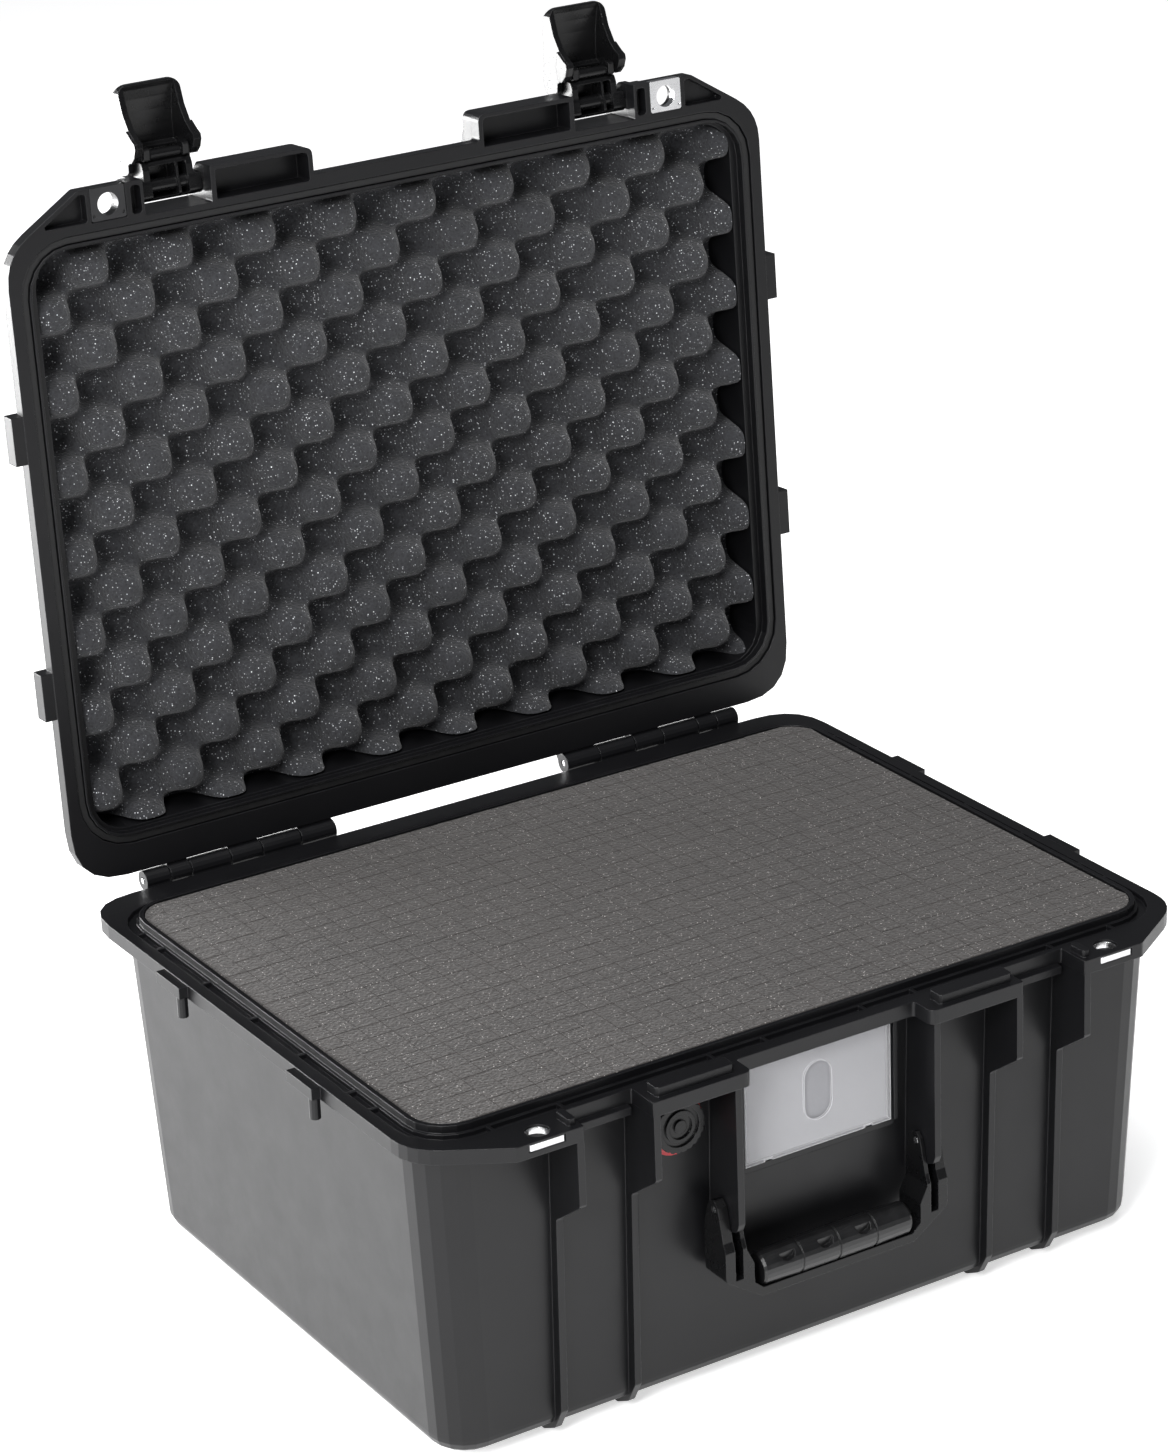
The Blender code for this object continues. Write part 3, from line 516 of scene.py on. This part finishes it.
# ---- Foams ----
def crate_face(low):
    """Depth of the convoluted face under (x, y), from peaks at the low side."""
    wave_x, wave_y = (2 * math.pi / pitch for pitch in CRATE_PITCH)

    def depth(x, y):
        s = math.cos(wave_x * (x - CRATE_SHIFT[0])) * math.cos(wave_y * (y - CRATE_SHIFT[1]))
        s = math.tanh(CRATE_FLAT * s) / math.tanh(CRATE_FLAT)
        return low + CRATE_DEPTH * (1 - s) / 2

    return depth


def make_lid_foam(mats):
    low, high = shut_box("lid_foam")
    grow = Vector((CRATE_WIDER, CRATE_WIDER, 0.0))
    low, high = low - grow - Vector((0.0, 0.0, CRATE_PROUD)), high + grow
    xs = steps(low.x, high.x, CRATE_STEP, CRATE_CORNER)
    ys = steps(low.y, high.y, CRATE_STEP, CRATE_CORNER)
    tail = (CRATE_INSET, CRATE_BACK)
    bm = slab(xs, ys, crate_face(low.z), high.z - CRATE_BACK, CRATE_CORNER, tail)
    bm.transform(LID_OPENED)
    obj = finish_mesh("lid_foam_convoluted", bm, mats["cool_foam"])
    obj.data.set_sharp_from_angle(angle=math.radians(60))
    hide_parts("lid_foam")
    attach(obj, "lid")


def scored_lines(low, high, count):
    """Coordinates across a scored face: the cell edges with both lips of every cut."""
    pitch = (high - low) / count
    lines = [low, low + FOAM_ROUND]
    for k in range(1, count):
        cut = low + pitch * k
        lines += [cut - SCORE_HALF, cut, cut + SCORE_HALF]
    lines += [high - FOAM_ROUND, high]
    for turn in corner_turns(TUB_CORNER)[1:]:
        for extra in (low + turn, high - turn):
            if min(abs(extra - line) for line in lines) > 2 * SCORE_HALF:
                lines.append(extra)
    return sorted(lines)


def make_pick_foam(mats):
    """The upper foam: a block scored into small cubes, each a little higher or lower than the next."""
    low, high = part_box("pick_foam_upper")
    draw = random.Random(11)
    lift = [[draw.uniform(-CUBE_UNEVEN, 0.0) for _ in range(CUBE_COLUMNS)] for _ in range(CUBE_ROWS)]
    xs, ys = scored_lines(low.x, high.x, CUBE_COLUMNS), scored_lines(low.y, high.y, CUBE_ROWS)
    pitch_x, pitch_y = (high.x - low.x) / CUBE_COLUMNS, (high.y - low.y) / CUBE_ROWS

    def top(x, y):
        column = min(CUBE_COLUMNS - 1, max(0, int((x - low.x) / pitch_x)))
        row = min(CUBE_ROWS - 1, max(0, int((y - low.y) / pitch_y)))
        z = high.z + lift[row][column]
        for value, start, stop, pitch in ((x, low.x, high.x, pitch_x), (y, low.y, high.y, pitch_y)):
            off = (value - start) % pitch
            inside = start + pitch / 2 < value < stop - pitch / 2
            if inside and min(off, pitch - off) < SCORE_HALF / 2:
                z -= SCORE_DEEP
            if value in (start, stop):
                z -= FOAM_ROUND
        return z

    bm = slab(xs, ys, top, *tapered_back("pick_foam_upper", TUB_CORNER))
    obj = finish_mesh("pick_foam_scored", bm, mats["warm_foam"], smooth=False)
    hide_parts("pick_foam_upper")
    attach(obj, "base")


def make_plain_foam(node, name, mats):
    """A cut foam sheet with eased edges and a gently uneven face."""
    low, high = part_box(node)
    xs = steps(low.x, high.x, SHEET_STEP, TUB_CORNER)
    ys = steps(low.y, high.y, SHEET_STEP, TUB_CORNER)
    wave = 2 * math.pi / SHEET_WAVE

    def top(x, y):
        edge = min(x - low.x, high.x - x, y - low.y, high.y - y)
        sag = SHEET_SAG * (1 + math.sin(wave * x) * math.cos(wave * y))
        return high.z - sag - (FOAM_ROUND if edge < FOAM_ROUND else 0.0)

    obj = finish_mesh(name, slab(xs, ys, top, *tapered_back(node, TUB_CORNER)), mats["warm_foam"])
    obj.data.set_sharp_from_angle(angle=math.radians(40))
    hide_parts(node)
    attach(obj, "base")


# ---- Floor ----
def make_floor():
    n = Nodes("floor_paper")
    speck = n.noise(n.place(), 3.0, 3.0)
    n.link(n.mix(speck, (0.93, 0.93, 0.93), (0.955, 0.955, 0.955)), n.shader.inputs["Base Color"])
    n.shader.inputs["Roughness"].default_value = 0.9
    n.shader.inputs["Specular IOR Level"].default_value = 0.1
    n.shader.inputs["Emission Color"].default_value = (1.0, 1.0, 1.0, 1.0)
    n.shader.inputs["Emission Strength"].default_value = 0.62
    bm = bmesh.new()
    half = FLOOR_HALF
    corners = ((-half, -half), (half, -half), (half, half), (-half, half))
    bm.faces.new([bm.verts.new((x, y, -FLOOR_BELOW)) for x, y in corners])
    finish_mesh("floor", bm, n.mat, smooth=False)


make_camera()
make_light()
MATERIALS = make_materials()
dress_frame(MATERIALS)
make_lid_foam(MATERIALS)
make_pick_foam(MATERIALS)
make_plain_foam("pick_foam_lower", "pick_foam_lower_sheet", MATERIALS)
make_plain_foam("base_foam_pad", "base_foam_sheet", MATERIALS)
make_floor()
